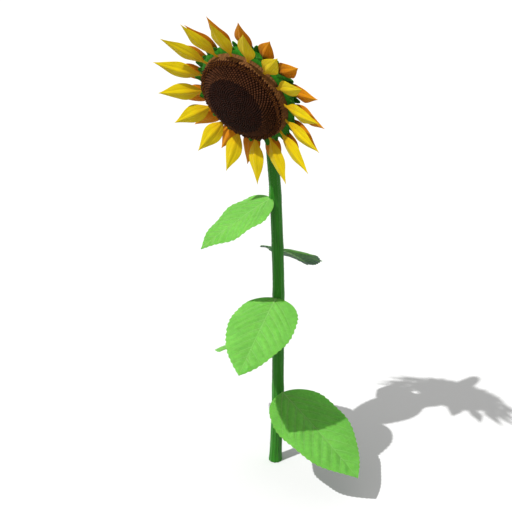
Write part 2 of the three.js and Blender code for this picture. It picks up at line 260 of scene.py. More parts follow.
def stem_line(count):
    """The stem's centre line from the ground into the head, in metres."""
    facing, forward = aimed(HEAD_HEADING, HEAD_ELEVATION)[0], aimed(HEAD_HEADING, 0)[0]
    top = np.array(HEAD_CENTRE) + facing * (NECK_SOCKET_DEPTH - SEAT_GAP)
    sweep = math.radians(90 - HEAD_ELEVATION)

    def on_arc(angle):
        return NECK_BEND_RADIUS * (np.array([0, 0, math.sin(angle)]) - forward * math.cos(angle))

    middle = top - facing * NECK_STUB - on_arc(sweep)
    arc = [on_arc(share * sweep) + middle for share in (0, 0.25, 0.5, 0.75, 1)]
    end = top + facing * STEM_SUNK
    return evenly(through([*STEM_LINE, *arc, end]), count) * MM


def around_line(angle, side, back):
    """Directions out of each point of a line, at angles round it."""
    return np.cos(angle)[:, None] * side[:, None] + np.sin(angle)[:, None] * back[:, None]


def carried_frames(line):
    """Side and back directions along a line, carried on without twist."""
    ahead = np.gradient(line, axis=0)
    ahead /= np.linalg.norm(ahead, axis=1)[:, None]
    sides = []
    side = np.array([1.0, 0, 0])
    for direction in ahead:
        side = side - direction * side.dot(direction)
        side /= np.linalg.norm(side)
        sides.append(side)
    sides = np.array(sides)
    return ahead, sides, np.cross(ahead, sides)


# --------------- shapes: (vertices, faces)


def grid_faces(index):
    corners = (index[:-1, :-1], index[1:, :-1], index[1:, 1:], index[:-1, 1:])
    return np.stack([corner.ravel() for corner in corners], axis=1)


def ring_angles(sides):
    return np.linspace(0, TURN, sides, endpoint=False)


def blade_grid(end, rows, columns):
    """Shares along a blade as rows, from its base to an end short of the tip, and across it as columns,
    from -1 to 1."""
    return np.linspace(0, end, rows)[:, None], np.linspace(-1, 1, columns)[None]


def shell(top, bottom):
    """A closed sheet between two grids of points. Returns its shape and how many faces are the top's."""
    rows, columns = top.shape[:2]
    count = rows * columns
    index = np.arange(count).reshape(rows, columns)
    faces = grid_faces(index)
    rim = np.concatenate([index[0, :], index[1:, -1], index[-1, -2::-1], index[-2:0:-1, 0]])
    after = np.roll(rim, -1)
    edge = np.stack([rim, after, after + count, rim + count], axis=1)
    vertices = np.concatenate([top.reshape(-1, 3), bottom.reshape(-1, 3)])
    return (vertices, np.vstack([faces, edge, faces[:, ::-1] + count])), len(faces) + len(edge)


def sheet(x, y, z, half):
    """A closed sheet round the grid of points x, y, z, half its thickness to each side along Z, as
    shell() returns it."""
    middle = np.stack([x, y, z], axis=-1)
    lift = np.stack([0 * x, 0 * x, half + 0 * x], axis=-1)
    return shell(middle + lift, middle - lift)


def tube(line, radii, sides, depth=1.0, up=None):
    """A closed tube along a line. depth squashes it along its back direction, or along up."""
    ahead, side, back = carried_frames(line)
    if up is not None:
        side = np.cross(np.broadcast_to(up, ahead.shape), ahead)
        side /= np.linalg.norm(side, axis=1)[:, None]
        back = np.cross(ahead, side)
    radii = np.broadcast_to(radii, len(line))[:, None, None]
    return close_rings(line[:, None] + radii * around_line(ring_angles(sides), side, depth * back))


def revolve(profile, sides, ribs=0, rib_height=0.0):
    """A closed shape turned round the Z axis from [radius, height] points off the axis. Its ribs have
    their full height from a radius of 20 on, and fade towards the axis."""
    profile = np.asarray(profile, float)
    angle = ring_angles(sides)
    radius, height = profile[:, :1], profile[:, 1:]
    ripple = 1 + rib_height * np.cos(ribs * angle) / np.maximum(radius, 20)
    return close_rings(round_z(radius * ripple, angle, height))


def close_rings(rings):
    """A closed shape through a stack of rings of points, with a middle point in each end."""
    rows, columns = rings.shape[:2]
    index = np.arange(rows * columns).reshape(rows, columns)
    wrapped = np.hstack([index, index[:, :1]])
    faces = grid_faces(wrapped)[:, ::-1]
    ends = rows * columns + np.arange(2)
    first = np.stack([wrapped[0, 1:], wrapped[0, :-1], np.full(columns, ends[0])], axis=1)
    last = np.stack([wrapped[-1, :-1], wrapped[-1, 1:], np.full(columns, ends[1])], axis=1)
    fans = np.vstack([first, last])
    fans = np.hstack([fans, fans[:, -1:]])
    return with_ends(rings), np.vstack([faces, fans])


def with_ends(rings):
    """The points of a stack of rings, and then the middle of its first ring and of its last."""
    return np.vstack([rings.reshape(-1, 3), rings[0].mean(0), rings[-1].mean(0)])


def moved(shape, turn, at=0.0):
    """A shape with its own X, Y and Z laid along the rows of turn, and its origin at a point."""
    return shape[0] @ turn + at, shape[1]


def head_shape(shape):
    """A shape of the head's own frame, in millimetres, in the plant's frame, in metres."""
    return on_head(shape[0]), shape[1]


def join(shapes):
    """Many shapes as one."""
    starts = np.cumsum([0] + [len(vertices) for vertices, _ in shapes])
    faces = [shape_faces + start for (_, shape_faces), start in zip(shapes, starts)]
    return np.vstack([vertices for vertices, _ in shapes]), np.vstack(faces)


def scatter(shape, places, axes):
    """Copies of a shape at places. axes holds each copy's own X, Y and Z as rows, scaled."""
    vertices, faces = shape
    copies = np.einsum("vk,nkc->nvc", vertices, axes) + places[:, None]
    starts = np.arange(len(copies)) * len(vertices)
    return copies.reshape(-1, 3), (faces[None] + starts[:, None, None]).reshape(-1, faces.shape[1])


def new_object(name, data):
    made = bpy.data.objects.new(name, data)
    bpy.context.scene.collection.objects.link(made)
    return made


def make_piece(name, shape, materials, nodes, lower_from=None, grown=None):
    """A Blender object of a shape, in place of the solids of nodes. Faces from lower_from on take the
    second material. A face that names its last point twice is a triangle. grown says where each point
    was on the growing organ: across it, through it and along it, in metres."""
    vertices, faces = shape
    mesh = bpy.data.meshes.new(name)
    corners = [face[:3] if face[2] == face[3] else face for face in faces.tolist()]
    mesh.from_pydata(vertices, [], corners, shade_flat=False)
    for material in materials:
        mesh.materials.append(material)
    if lower_from is not None:
        mesh.polygons.foreach_set("material_index", (np.arange(len(faces)) >= lower_from).astype(np.int32))
    if grown is not None:
        places = mesh.attributes.new(GROWN, "FLOAT_VECTOR", "POINT")
        places.data.foreach_set("vector", np.asarray(grown, np.float32).ravel())
    piece = new_object(name, mesh)
    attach(piece, BODY)
    if nodes:
        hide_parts(*nodes)


# --------------- materials


def add_node(tree, kind, inputs=None, **settings):
    """Adds a shader node, sets its properties, and sets or links its inputs by name or number."""
    node = tree.nodes.new(kind)
    for key, value in settings.items():
        setattr(node, key, value)
    for key, value in (inputs or {}).items():
        if isinstance(value, bpy.types.NodeSocket):
            tree.links.new(value, node.inputs[key])
        else:
            node.inputs[key].default_value = value
    return node


class Surface:
    """A material in the making. Sockets of its shader are set by name, and sizes are in millimetres."""

    def __init__(self, name, **sockets):
        self.material = bpy.data.materials.new(name)
        self.material.use_nodes = True
        self.tree = self.material.node_tree
        self.shader = self.tree.nodes["Principled BSDF"].inputs
        for socket, value in sockets.items():
            self.shader[socket.replace("_", " ")].default_value = value
        self.place = self.node("ShaderNodeTexCoord", "Object")

    def node(self, kind, output, inputs=None, **settings):
        """An output of a new node."""
        return add_node(self.tree, kind, inputs, **settings).outputs[output]

    def noise(self, place, scale, detail):
        inputs = {"Vector": place, "Scale": scale, "Detail": detail}
        return self.node("ShaderNodeTexNoise", "Fac", inputs)

    def patches(self, size, detail=3.0):
        """Noise with patches of a size."""
        return self.noise(self.place, 1 / (size * MM), detail)

    def fibres(self, width, length, detail=4.0):
        """Noise drawn out along the way that an organ grew, of a width and length."""
        grown = self.node("ShaderNodeAttribute", "Vector", attribute_name=GROWN)
        scale = [1 / (size * MM) for size in (width, width, length)]
        drawn = self.node("ShaderNodeMapping", "Vector", {"Vector": grown, "Scale": scale})
        return self.noise(drawn, 1.0, detail)

    def vary(self, colour, pattern, variation, low=0.3, high=0.7):
        """A colour made darker where a pattern is low and lighter where it is high."""
        spread = {"From Min": low, "From Max": high, "To Min": 1 - variation, "To Max": 1 + variation}
        value = self.node("ShaderNodeMapRange", "Result", {"Value": pattern, **spread})
        return self.node("ShaderNodeHueSaturation", "Color", {"Value": value, "Color": colour})

    def paint(self, colour, tints, reliefs=()):
        """The material, coloured and in relief. A tint is a pattern and how it varies the colour, and a
        relief is a pattern, its strength and its depth, which lies over the relief before it."""
        for tint in tints:
            colour = self.vary(colour, *tint)
        self.tree.links.new(colour, self.shader["Base Color"])
        normal = {}
        for height, strength, depth in reliefs:
            inputs = {"Height": height, "Strength": strength, "Distance": depth * MM, **normal}
            normal = {"Normal": self.node("ShaderNodeBump", "Normal", inputs)}
            self.tree.links.new(normal["Normal"], self.shader["Normal"])
        return self.material


def opaque(colour):
    return (*colour[:3], 1)


# Living tissue. Its radius says how far red, green and blue light travel in it, as shares of the scale
GREEN = {"IOR": 1.42, "Subsurface_Radius": (0.4, 1.0, 0.15)}
YELLOW = {"IOR": 1.4, "Subsurface_Radius": (1.0, 0.6, 0.1)}


def stem_material(settings):
    # A grown herbaceous stem: a waxy ribbed skin over lengthwise fibres, which streak it with light,
    # under fine down that pales its edges
    skin = Surface(
        "Herbaceous stem, ribbed and downy", Roughness=0.5, Specular_IOR_Level=0.3,
        Sheen_Weight=0.35, Sheen_Roughness=0.5, Sheen_Tint=(0.45, 1, 0.4, 1),
        Subsurface_Weight=0.06, Subsurface_Scale=0.002, **GREEN,
    )
    # fibres are 0.3 mm wide, and drawn at 1.1 mm so that they show
    strands = skin.fibres(1.1, 40)
    tints = ((strands, 0.28), (skin.patches(35), 0.12))
    return skin.paint(opaque(settings.colour), tints, [(strands, 0.7, 0.3)])


def blade_material(name, colour, net_contrast, roughness, gloss, sheen):
    # A grown leaf blade: a matt skin netted with fine veins, over soft flesh that lets green light
    # through, so that shaded parts stay a lively green
    skin = Surface(
        name, Roughness=roughness, Specular_IOR_Level=gloss, Sheen_Weight=sheen,
        Subsurface_Weight=0.65, Subsurface_Scale=0.0045, **GREEN,
    )
    # the net's meshes are 1 to 2 mm wide, and drawn at 3 mm so that they show
    meshes = {"Vector": skin.place, "Scale": 1 / (3 * MM)}
    net = skin.node("ShaderNodeTexVoronoi", "Distance", meshes, feature="DISTANCE_TO_EDGE")
    tints = ((net, -net_contrast, 0, 0.12), (skin.patches(6), 0.09), (skin.patches(45, 1.0), 0.08))
    reliefs = ((net, 0.5, 0.5), (skin.patches(0.9, 2.0), 0.3, 0.15))
    return skin.paint(opaque(colour), tints, reliefs)


def vein_material(settings):
    # Grown leaf veins: pale smooth ribs that stand out of the blade, a little glossier than it
    skin = Surface(
        "Leaf vein and petiole, smooth", Roughness=0.42, Specular_IOR_Level=0.3,
        Subsurface_Weight=0.12, Subsurface_Scale=0.002, **GREEN,
    )
    return skin.paint(opaque(settings.veins), [(skin.patches(9), 0.1)])


def hair_material(settings):
    # Grown plant hair: stiff, colourless and shiny, so it catches light along its length
    return Surface(
        "Bristly plant hair, translucent", Base_Color=opaque(settings.hair_colour), Roughness=0.35,
        IOR=1.5, Subsurface_Weight=0.3, Subsurface_Scale=0.0005,
    ).material


def bract_material(settings):
    # Grown bracts: leathery green scales with lengthwise veins and a rough, hairy skin
    skin = Surface(
        "Bract, leathery and hairy", Roughness=0.6, Specular_IOR_Level=0.15, Sheen_Weight=0.04,
        Subsurface_Weight=0.06, Subsurface_Scale=0.0015, **GREEN,
    )
    strands = skin.fibres(1.3, 18)
    tints = ((strands, 0.3), (skin.patches(20, 1.0), 0.12))
    reliefs = ((strands, 0.7, 0.4), (skin.patches(1.2, 4.0), 0.5, 0.2))
    return skin.paint(opaque(settings.bract), tints, reliefs)


def ray_material(name, colour, base_colour):
    # Grown ray florets: silky and thin, streaked by lengthwise nerves, deeper coloured near the disc
    skin = Surface(
        name, Roughness=0.5, Specular_IOR_Level=0.15, Sheen_Weight=0.03,
        Subsurface_Weight=0.15, Subsurface_Scale=0.002, **YELLOW,
    )
    ends = {0: skin.place, 1: [c * MM for c in HEAD_CENTRE]}
    out = skin.node("ShaderNodeVectorMath", "Value", ends, operation="DISTANCE")
    span = {"Value": out, "From Min": 70 * MM, "From Max": 104 * MM}
    share = skin.node("ShaderNodeMapRange", "Result", span, interpolation_type="SMOOTHSTEP")
    colours = {0: share, 6: opaque(base_colour), 7: opaque(colour)}
    blend = skin.node("ShaderNodeMix", 2, colours, data_type="RGBA")
    # nerves are 0.3 mm wide, and drawn at 0.9 mm so that they show
    nerves = skin.fibres(0.9, 22, 3.0)
    tints = ((nerves, 0.13), (skin.patches(22, 1.0), 0.07))
    reliefs = ((nerves, 0.6, 0.25), (skin.patches(0.8, 2.0), 0.2, 0.1))
    return skin.paint(blend, tints, reliefs)


def floret_material(name, colour, variation, roughness=0.75):
    # Grown disc florets: dry papery tissue that swallows light, each a little lighter or darker
    skin = Surface(name, Roughness=roughness, IOR=1.4, Specular_IOR_Level=0.15)
    single = skin.node("ShaderNodeNewGeometry", "Random Per Island")
    tints = ((single, variation, 0, 1), (skin.patches(1.5), 0.15))
    return skin.paint(opaque(colour), tints, [(skin.patches(0.5, 2.0), 0.4, 0.1)])


def floor_material(settings):
    # Painted studio floor: plain, pale and matt
    return Surface("Matt studio paint", Base_Color=opaque(settings.floor), Roughness=0.9).material


# --------------- stem

STEM_RINGS = 330
STEM_SIDES = 66  # six points to a rib
RIB_SUNK = 0.4  # share of a rib's height by which ribs and furrows lie deeper than an even wave
# Swelling under a leaf: half-height and reach in millimetres, and its share on the stem's far side
SWELLING_HALF_HEIGHT = 9
SWELLING_REACH = 1.1
SWELLING_BEHIND = 0.35
HAIR_ROOT = 0.1  # millimetres that a hair reaches into the skin
HAIR_RADIUS = 0.09


def stem_radius(height, share, settings):
    flare = settings.flare * np.exp(-height / settings.flare_height)
    return settings.radius_low + (settings.radius_top - settings.radius_low) * share + flare


def leaf_bases(line):
    """Where each leaf sits on the stem's centre line, in metres."""
    below_neck = line[: np.argmax(line[:, 2])]
    return [
        np.array([np.interp(height * MM, below_neck[:, 2], below_neck[:, k]) for k in range(3)])
        for _, height, *_ in LEAVES
    ]


def stem_rings(settings):
    """Rings of the stem's skin, with ribs, root flare and a swelling under each leaf, the directions
    out of it, and where its points grew."""
    line = stem_line(STEM_RINGS)
    _, side, back = carried_frames(line)
    angle = ring_angles(STEM_SIDES)
    radius = stem_radius(line[:, 2], np.linspace(0, 1, STEM_RINGS), settings)[:, None]
    ribs = settings.rib_height * (np.cos(settings.rib_count * angle) - RIB_SUNK)[None]
    outward = around_line(angle, side, back)
    swelling = np.zeros((STEM_RINGS, STEM_SIDES))
    for base, (_, _, heading, *_) in zip(leaf_bases(line), LEAVES):
        toward = aimed(heading, 0)[0]
        near = np.exp(-(((line[:, 2] - base[2]) / (SWELLING_HALF_HEIGHT * MM)) ** 2))[:, None]
        facing = np.clip(outward @ toward, 0, 1) ** 2
        swelling += SWELLING_REACH * MM * near * (SWELLING_BEHIND + (1 - SWELLING_BEHIND) * facing)
    reach = radius + ribs + swelling
    points = line[:, None] + reach[..., None] * outward
    points[0, :, 2] = 0  # the foot is cut flat at the ground
    step = np.linalg.norm(line[1] - line[0])
    grown = round_z(reach, angle, np.arange(STEM_RINGS)[:, None] * step)
    return points, outward, with_ends(grown)


class SUNFLOWER_OT_grow_stem(bpy.types.Operator):
    """Grow the ribbed, hairy stem with its nodding neck"""

    bl_idname = "sunflower.grow_stem"
    bl_label = "Grow stem"

    def execute(self, context):
        settings = context.scene.sunflower.stem
        rings, outward, grown = stem_rings(settings)
        skin = stem_material(settings)
        make_piece("stem_skin", close_rings(rings), [skin], ["stem"], grown=grown)
        hairs = self.hairs(rings, outward, settings)
        make_piece("stem_hairs", hairs, [hair_material(settings)], [])
        return {"FINISHED"}

    @staticmethod
    def hairs(rings, outward, settings):
        """Hairs all over the skin, each rooted in it, of many lengths and leaning every way."""
        rng = np.random.default_rng(11)
        count = settings.hair_count
        row = rng.integers(6, len(rings) - 4, count)
        column = rng.integers(0, rings.shape[1], count)
        roots = rings[row, column] - HAIR_ROOT * MM * outward[row, column]
        roots += rng.uniform(-0.8, 0.8, (count, 1)) * (rings[row + 1, column] - rings[row, column])
        lean = outward[row, column] + rng.normal(0, 0.32, (count, 3))
        lengths = settings.hair_length * rng.uniform(0.45, 1.0, count)
        return bristles(roots, lean, lengths, HAIR_RADIUS * MM)


def bristles(places, directions, lengths, radius):
    """Three-sided pointed hairs standing at places."""
    directions = directions / np.linalg.norm(directions, axis=1)[:, None]
    side = np.cross(directions, (0.31, 0.52, 0.8))
    side /= np.linalg.norm(side, axis=1)[:, None]
    back = np.cross(directions, side)
    foot, _ = around_axis(ring_angles(3))
    hair = np.vstack([foot, [0, 0, 1]]), np.array([[0, 1, 3, 3], [1, 2, 3, 3], [2, 0, 3, 3], [0, 2, 1, 1]])
    axes = np.stack([side * radius, back * radius, directions * lengths[:, None]], axis=1)
    return scatter(hair, places, axes)


# --------------- leaves

# All of these are shares of the leaf's length
# where side veins leave the midrib, how they sweep forward, and the left ones' lead over the right ones
VEIN_STARTS = (0.075, 0.15, 0.245, 0.35, 0.46, 0.575, 0.69, 0.8, 0.9)
VEIN_SLANT = 0.85
VEIN_SWEEP = 1.0
VEIN_OFFSET = 0.012
VEINS_END = 0.985
VEIN_REACH = 0.34
# places along the midrib and its radii there, under the blade and as a pale line on top
MIDRIB_UNDER = ((0, 0.05, 0.14, 1), (0.021, 0.017, 0.0105, 0.002))
MIDRIB_OVER = ((0, 0.15, 1), (0.014, 0.008, 0.0018))
# radii of a side vein at its start and end
VEIN_UNDER = (0.0062, 0.0016)
VEIN_OVER = (0.0038, 0.0006)
MIDRIB_START = 7.5  # millimetres from the stem's centre line, inside its skin
BLADE_TIP_HALF_WIDTH = 0.0008


def bezier(points, count):
    """Points along a cubic curve with four control points."""
    a, b, c, d = np.asarray(points, float)
    t = np.linspace(0, 1, count)[:, None]
    return (1 - t) ** 3 * a + 3 * (1 - t) ** 2 * t * b + 3 * (1 - t) * t**2 * c + t**3 * d


def blade_outline(count):
    """Distance from the stem and half-width of the blade, as shares of its length."""
    half = count // 2
    return np.vstack([bezier(BLADE_BASE_CURVE, half), bezier(BLADE_TIP_CURVE, count - half + 1)[1:]])


def vein_place(start, side, reach):
    """Where along the blade a side vein has come when it is a reach away from the midrib."""
    return start + VEIN_OFFSET * side + VEIN_SLANT * reach + VEIN_SWEEP * reach**2


def vein_start(x, y):
    """Where on the midrib the side vein through a point of the blade would start."""
    return x - VEIN_OFFSET * np.sign(y) - VEIN_SLANT * abs(y) - VEIN_SWEEP * y**2


class Blade:
    """One leaf in its own frame: X along it, Y across and Z up, in metres."""

    # rise of its arch, and of the fold and the curl of its sides as shares of the half-width
    arch, fold, curl = 0.02, 0.12, 0.11
    waves = 2.6  # how often the margin waves

    def __init__(self, length, settings, rng):
        self.length = length
        self.settings = settings
        self.phase = rng.uniform(0, TURN, 2)
        self.outline = blade_outline(400)

    def half_width(self, x):
        return np.interp(x, self.outline[:, 0], self.outline[:, 1])

    def height(self, x, y):
        """Height of the middle surface over the chord at a point, all as shares of the length."""
        width = np.maximum(self.half_width(x), 1e-4)
        across = np.clip(abs(y) / width, 0, 1)
        spread = 1 - smoothstep(-x, -3 * PETIOLE_END, -PETIOLE_END)
        phase = self.phase[np.where(y < 0, 0, 1)]
        wave = np.sin(TURN * self.waves * x + phase) * across**2.5 * smoothstep(x, 0.1, 0.3)
        between = np.interp(vein_start(x, y), VEIN_STARTS, range(len(VEIN_STARTS))) % 1
        swell = (0.5 - 0.5 * np.cos(TURN * between)) * np.sin(math.pi * across**0.7)
        height = self.arch * 4 * x * (1 - x) + width * (self.fold * across - self.curl * across**2) * spread
        height += wave * self.settings.wave_height / self.length
        return height + swell * spread * self.settings.quilting / self.length

    def teeth(self, x):
        """How far the margin stands out at a distance along the blade."""
        along = length_along(self.outline) * self.length / self.settings.tooth_spacing
        phase = np.interp(x, self.outline[:, 0], along) % 1
        tooth = np.where(phase < 0.7, phase / 0.7, (1 - phase) / 0.3)
        fade = smoothstep(x, 0.12, 0.25) * (1 - smoothstep(x, 0.93, 0.99))
        return (tooth - 0.5) * fade * self.settings.tooth_height / self.length

    def shell(self, rows=200, columns=81):
        """The toothed blade, thinner at its margin, and how many faces its upper side and edge have."""
        outline = blade_outline(rows)
        outline[-1, 1] = BLADE_TIP_HALF_WIDTH
        x = outline[:, :1]
        v = np.linspace(-1, 1, columns)[None]
        y = v * (outline[:, 1:] + self.teeth(x) * abs(v) ** 9)
        x = x + 0 * v
        half = self.settings.thickness / 2 * (1 - 0.6 * abs(v) ** 6)
        return sheet(x * self.length, y * self.length, self.height(x, y) * self.length, half)

    def rib(self, x, y, radius, above, sides, depth):
        """A tube along the blade from shares of its length, its middle some metres above the blade's."""
        z = self.height(np.maximum(x, PETIOLE_END), y) * self.length + above
        line = np.stack([x * self.length, y * self.length, z], axis=1)
        return tube(line, radius, sides, depth, up=(0, 0, 1))

    def midribs(self):
        """Petiole and midrib, one tapering rib from inside the stem's skin, and its pale line on top."""
        x = np.linspace(MIDRIB_START * MM / self.length, VEINS_END, 60)
        radius = np.interp(x, *MIDRIB_UNDER) * self.length
        under = self.rib(x, 0 * x, radius, -0.45 * radius, 12, 0.9)
        x = np.linspace(PETIOLE_END, VEINS_END, 60)
        radius = np.interp(x, *MIDRIB_OVER) * self.length
        over = self.rib(x, 0 * x, radius, self.settings.thickness / 2 - 0.2 * radius, 8, 0.55)
        return [under, over]

    def side_veins(self, start, side):
        """One side vein from the midrib to just short of the margin, and its pale line on top."""
        half = self.settings.thickness / 2
        strength = 1.25 if start < 0.1 else 1 - 0.5 * start
        veins = []
        for ends, thick, margin, face, sunk, depth in (
            (VEIN_UNDER, strength, 0.95, -half, 0.05, 1.0),
            (VEIN_OVER, 1.0, 0.93, half, 0.1, 0.55),
        ):
            reach = np.linspace(0, VEIN_REACH, 36)
            x = vein_place(start, side, reach)
            kept = (x < VEINS_END) & (reach < margin * self.half_width(x))
            radius = thick * np.linspace(*ends, kept.sum()) * self.length
            veins.append(self.rib(x[kept], reach[kept] * side, radius, face - sunk * radius, 6, depth))
        return veins


class SUNFLOWER_OT_grow_leaves(bpy.types.Operator):
    """Grow the five toothed, veined leaves"""

    bl_idname = "sunflower.grow_leaves"
    bl_label = "Grow leaves"

    def execute(self, context):
        settings = context.scene.sunflower.leaf
        upper = blade_material("Leaf blade, upper side, netted", settings.upper, 0.07, 0.5, 0.1, 0.0)
        # the lower side takes the darkened underside colour, partly its own grey-green and partly painted
        # shade
        lower = blade_material("Leaf blade, lower side, downy", settings.lower, 0.12, 0.65, 0.3, 0.15)
        veins = vein_material(settings)
        rng = np.random.default_rng(5)
        for (node, _, heading, droop, length), base in zip(LEAVES, leaf_bases(stem_line(400))):
            blade = Blade(length * MM, settings, rng)
            turn = aimed(heading, -droop)
            shape, upper_count = blade.shell()
            shape = moved(shape, turn, base)
            make_piece(f"{node}_blade", shape, [upper, lower], [node], lower_from=upper_count)
            ribs = blade.midribs()
            for start in VEIN_STARTS[:-1]:
                ribs += blade.side_veins(start, -1) + blade.side_veins(start, 1)
            make_piece(f"{node}_veins", moved(join(ribs), turn, base), [veins], [node])
        return {"FINISHED"}


# --------------- back of the head

BRACT_COLUMNS = 13  # points across a bract
BACK_RIBS = 32
# In millimetres
BACK_RIB_HEIGHT = 0.5
BRACT_HAIR_RADIUS = 0.07


def bract(base, tip, half_width, thickness, curl, rng):
    """A pointed, keeled bract along X in the head's frame, in millimetres, and where it grew."""
    share, v = blade_grid(0.985, 20, BRACT_COLUMNS)
    taper = np.sqrt(1 - share**1.6) * (1 - 0.25 * share)
    waist = 0.6 + 0.4 * smoothstep(share, 0, 0.35)
    x, z = (base[k] + (tip[k] - base[k]) * share + 0 * v for k in (0, 1))
    y = v * half_width * taper * waist + rng.normal(0, 1.2) * share**2
    z = z + curl * share**3 + rng.normal(0, 0.8) * share**2
    cupping = 0.9 * v**2 * (1 - share)
    veins = 0.18 * np.cos(math.pi * 5 * v) * (1 - share)
    keel = 0.35 * np.exp(-((v / 0.12) ** 2))
    half = thickness / 2 * (1 - 0.5 * v**4)
    return sheet(x, y, z - cupping + veins + keel, half)[0], grown_on_blade(y, x, rng)


def grown_on_blade(across, along, rng):
    """Where each point of a two-sided blade grew, in metres from millimetres, at a depth of its own so
    that no two blades are streaked alike."""
    depth = rng.uniform(0, 500) + 0 * along
    front = np.stack([across, depth, along], axis=-1).reshape(-1, 3)
    return np.vstack([front, front + (0, 5, 0)]) * MM


def turned_about_axis(shape, degrees):
    outward, round_it = around_axis(np.radians([degrees]))
    return moved(shape, np.vstack([outward, round_it, [0, 0, 1]]))


class SUNFLOWER_OT_grow_receptacle(bpy.types.Operator):
    """Grow the green back of the head and its rings of bracts"""

    bl_idname = "sunflower.grow_receptacle"
    bl_label = "Grow receptacle"

    # base and tip as [radius, depth], half-width and forward curl of the tip in millimetres, and how
    # many steps round from the front ray florets
    rows = (
        ((60, -9.0), (84, -8.2), 12.5, 4.2, 0.5),
        ((60, -9.4), (79, -8.6), 10, 3.0, 0),
        ((48, -29.8), (80, -21.8), 11.5, 0.5, 0),
        ((35, -31.4), (73, -26.8), 11.5, -0.5, 0.5),
        ((19, -33.0), (62, -30.6), 11, -0.8, 0),
        ((12, -35.0), (42, -34.0), 7.5, -0.6, 0.5),
    )

    def execute(self, context):
        settings = context.scene.sunflower
        green = bract_material(settings.head)
        socket, seat = (2, NECK_SOCKET_DEPTH), (2, DISC_BACK - SEAT_GAP)
        profile = [socket, *HEAD_COLLAR, *HEAD_BACK, *RECEPTACLE_RIM, seat]
        body = revolve(profile, 128, BACK_RIBS, BACK_RIB_HEIGHT)
        # its veins run outwards from the neck, so it grew away from the axis, and lies 40 mm round it
        across = body[0][:, :2]
        radius = np.linalg.norm(across, axis=1)[:, None]
        grown = np.hstack([40 * across / radius, radius]) * MM
        make_piece("receptacle_body", head_shape(body), [green], ["receptacle"], grown=grown)
        rng = np.random.default_rng(7)
        thickness = settings.head.bract_thickness / MM
        step = 360 / RAY_COUNT
        bracts, grown = [], []
        for base, tip, half_width, curl, offset in self.rows:
            for k in range(RAY_COUNT):
                width = half_width * rng.uniform(0.92, 1.05)
                one, one_grown = bract(base, tip, width, thickness, curl, rng)
                angle = FIRST_RAY_ANGLE + (k + offset) * step + rng.normal(0, 1.5)
                bracts.append(turned_about_axis(one, angle))
                grown.append(one_grown)
        whorl = head_shape(join(bracts))
        make_piece("bracts", whorl, [green], ["receptacle"], grown=np.vstack(grown))
        fringe = self.fringe(bracts, rng)
        make_piece("bract_hairs", fringe, [hair_material(settings.stem)], [])
        return {"FINISHED"}

    @staticmethod
    def fringe(bracts, rng):
        """Short hairs along the bracts' margins."""
        count = 26  # on each margin
        places, directions = [], []
        for vertices, _ in bracts:
            grid = vertices[: len(vertices) // 2].reshape(-1, BRACT_COLUMNS, 3)
            for edge, inner in ((0, 1), (-1, -2)):
                rows = rng.integers(4, len(grid), count)
                places.append(grid[rows, edge])
                directions.append(grid[rows, edge] - grid[rows, inner] + rng.normal(0, 0.4, (count, 3)))
        places = on_head(np.vstack(places))
        directions = np.vstack(directions) @ head_axes()
        lengths = rng.uniform(0.8, 1.8, len(places)) * MM
        return bristles(places, directions, lengths, BRACT_HAIR_RADIUS * MM)


# --------------- ray florets


def ray_floret(length, half_width, keel, thickness, bend, rng):
    """One ray floret along X with its front side up, in millimetres, and where it grew."""
    share, v = blade_grid(0.992, 44, 33)
    power = math.log(0.5) / math.log(RAY_WIDEST_AT)
    swell = np.sin(math.pi * np.clip(share, 1e-6, 1) ** power) ** (RAY_TAPER - RAY_TIP_FULLNESS * share)
    claw = RAY_CLAW_HALF_WIDTH * (1 - share)
    flat_y = v * np.maximum(half_width * rng.uniform(0.94, 1.03) * swell, claw)
    ridge = keel * (0.8 - np.sqrt(v**2 + 0.003))
    nerves = 0.13 * np.cos(math.pi * 13 * v) * (1 - v**8)
    furrows = -0.55 * np.exp(-(((abs(v) - 0.38) / 0.1) ** 2))
    ripple = 0.5 * abs(v) ** 3 * np.sin(TURN * (2.4 * share + rng.uniform(0, 1)))
    lip = 0.6 * abs(v) ** 5
    flat_z = (ridge + nerves + furrows + ripple + lip) * swell
    twist = math.radians(rng.normal(0, 5)) * share
    sway = (bend + rng.normal(0, 1.0)) * share**1.5
    bow = rng.uniform(-0.6, 1.0) * 4 * share * (1 - share) + rng.normal(0, 1.2) * share**3
    x = length * share + 0 * v
    y = flat_y * np.cos(twist) - flat_z * np.sin(twist) + sway
    z = flat_y * np.sin(twist) + flat_z * np.cos(twist) + bow
    half = thickness / 2 * (1 - 0.6 * v**6) * (1 - 0.4 * share)
    return sheet(x, y, z, half)[0], grown_on_blade(flat_y, x, rng)


